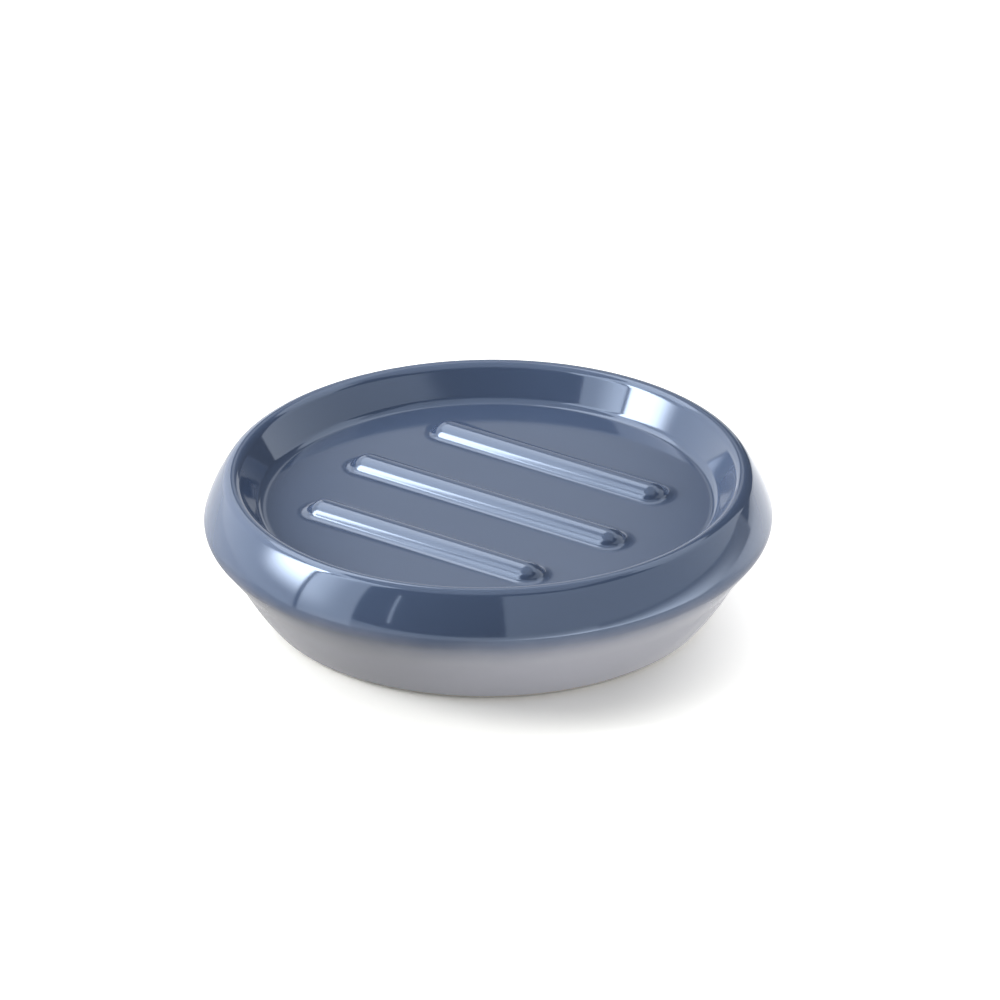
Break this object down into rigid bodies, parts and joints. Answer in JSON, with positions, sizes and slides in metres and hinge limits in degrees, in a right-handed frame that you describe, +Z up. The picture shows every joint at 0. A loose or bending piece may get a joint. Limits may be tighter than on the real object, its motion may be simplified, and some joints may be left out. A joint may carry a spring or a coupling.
{
  "type": "ceramic soap dish",
  "caption": "Round glazed ceramic soap dish with a thick rolled lip, a shallow tray with raised ribs that keep the soap out of the water, a tapered flank and pads under the base.",
  "frame": {"origin": "on the table, under the centre of the dish", "axes": "+Z up through the open tray, X along the ribs, Y across them"},
  "size_m": [0.122, 0.122, 0.03],
  "materials": {
    "bisque": "unglazed matte fired clay",
    "blue_glaze": "smooth gloss, slate blue, sprayed and fading out below the lip",
    "white_glaze": "soft gloss, warm off-white",
    "clear_pad": "clear soft bumper"
  },
  "bodies": {
    "root": {"ceramic_body": "bisque", "blue_glaze": "blue_glaze", "white_glaze": "white_glaze", "foot_pad_1": "clear_pad", "foot_pad_2": "clear_pad", "foot_pad_3": "clear_pad", "foot_pad_4": "clear_pad"}
  },
  "joints": []
}
